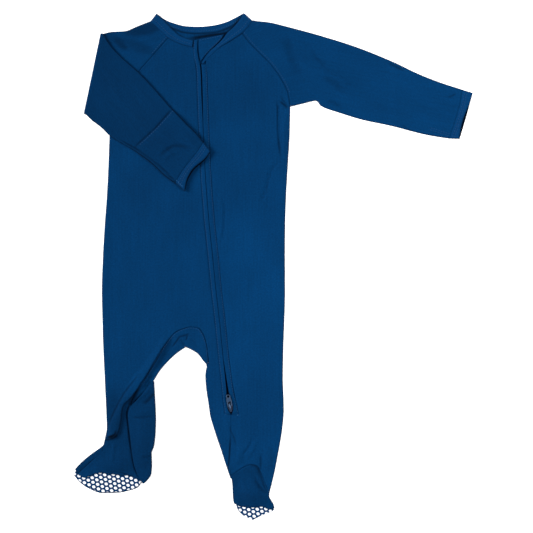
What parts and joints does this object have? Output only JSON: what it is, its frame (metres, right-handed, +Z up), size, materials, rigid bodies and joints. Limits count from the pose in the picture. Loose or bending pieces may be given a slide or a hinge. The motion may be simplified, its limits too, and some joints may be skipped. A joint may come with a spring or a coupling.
{
  "type": "onesie pajama",
  "caption": "Baby's footed zip-front onesie pajama in plain navy jersey, laid flat, with one sleeve folded over the chest and one leg twisted at the ankle.",
  "frame": {"origin": "centre of the bounding box in plan, on the surface that the garment lies on", "axes": "+Y towards the head, +X towards the garment's left sleeve, +Z up from the surface"},
  "size_m": [0.4986, 0.6336, 0.0106],
  "materials": {
    "navy_jersey": "matte knit",
    "navy_binding": "matte rib knit",
    "zip_tape_cloth": "matte woven tape",
    "sole_jersey": "matte knit with small printed grips",
    "slate_blue_metal": "satin enamel"
  },
  "bodies": {
    "garment": {"back_body": "navy_jersey", "front_right": "navy_jersey", "front_left": "navy_jersey", "gusset": "navy_jersey", "leg_back_right": "navy_jersey", "foot_top_right": "navy_jersey", "foot_top_left": "navy_jersey", "sleeve_right": "navy_jersey", "sleeve_left": "navy_jersey", "mitten_right": "navy_jersey", "mitten_left": "navy_jersey", "placket_right": "navy_jersey", "placket_left": "navy_jersey", "zip_guard": "navy_jersey", "neckband_back": "navy_binding", "neckband_right": "navy_binding", "neckband_left": "navy_binding", "cuff_right": "navy_binding", "cuff_left": "navy_binding", "zip_tape": "zip_tape_cloth", "sole_right": "sole_jersey", "sole_left": "sole_jersey", "zip_slider": "slate_blue_metal"},
    "pull_tab": {"zip_pull": "slate_blue_metal"}
  },
  "joints": [
    {"name": "pull_swing", "type": "hinge", "parent": "garment", "child": "pull_tab", "pos_m": [-0.05399, -0.17441, 0.00625], "axis": [0.9877, 0.1564, 0], "range_deg": [0, 172]}
  ]
}
